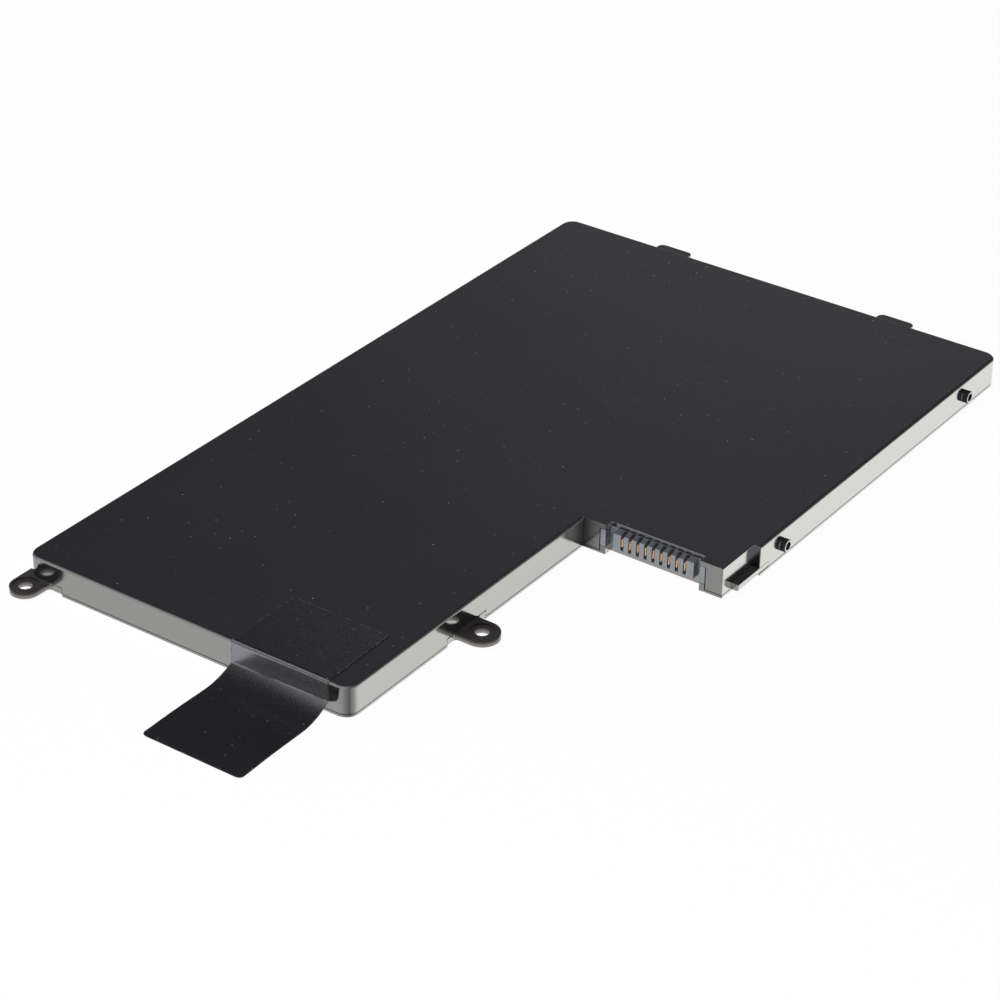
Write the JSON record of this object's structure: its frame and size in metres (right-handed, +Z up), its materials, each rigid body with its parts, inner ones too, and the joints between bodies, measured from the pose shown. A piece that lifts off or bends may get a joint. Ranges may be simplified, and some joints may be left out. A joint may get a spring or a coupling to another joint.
{
  "type": "laptop battery",
  "caption": "Thin L-shaped laptop battery pack with screw lugs, locating pegs, a slotted edge connector in the notch and a black pull tape.",
  "frame": {"origin": "middle of the case rectangle, on the underside that rests on the table", "axes": "+Y towards the back edge with the two tongues, +X towards the wall with the pegs, +Z up"},
  "size_m": [0.1264, 0.236, 0.0075],
  "materials": {
    "case_plastic": "black moulding, satin top, polished sides",
    "cover_plastic": "black moulding, polished",
    "housing_plastic": "blue-black moulding, polished",
    "contact_gilt": "gilt spring bronze",
    "tape_film": "black polyester film",
    "cell_pouch": "laminated foil",
    "tab_aluminium": "rolled strip",
    "strip_nickel": "rolled nickel strip",
    "pad_adhesive": "double-sided adhesive",
    "board_laminate": "green solder resist",
    "chip_epoxy": "moulded epoxy",
    "chip_ceramic": "fired ceramic"
  },
  "bodies": {
    "root": {"bottom_cover": "cover_plastic", "capacitors": "chip_ceramic", "cell_1": "cell_pouch", "cell_1_negative_tab": "strip_nickel", "cell_1_pad": "pad_adhesive", "cell_1_positive_tab": "tab_aluminium", "cell_2": "cell_pouch", "cell_2_negative_tab": "strip_nickel", "cell_2_pad": "pad_adhesive", "cell_2_positive_tab": "tab_aluminium", "cell_3": "cell_pouch", "cell_3_negative_tab": "strip_nickel", "cell_3_pad": "pad_adhesive", "cell_3_positive_tab": "tab_aluminium", "charge_switch": "chip_epoxy", "circuit_board": "board_laminate", "connector_housing": "housing_plastic", "contact_1": "contact_gilt", "contact_2": "contact_gilt", "contact_3": "contact_gilt", "contact_4": "contact_gilt", "contact_5": "contact_gilt", "contact_6": "contact_gilt", "contact_7": "contact_gilt", "contact_8": "contact_gilt", "contact_9": "contact_gilt", "discharge_switch": "chip_epoxy", "fuse": "chip_epoxy", "gauge_chip": "chip_epoxy", "link_1_2": "strip_nickel", "link_2_3": "strip_nickel", "negative_lead": "strip_nickel", "positive_lead": "strip_nickel", "pull_tape": "tape_film", "resistors": "chip_ceramic", "sense_resistor": "chip_ceramic", "thermistor": "chip_ceramic", "top_case": "case_plastic"}
  },
  "joints": []
}
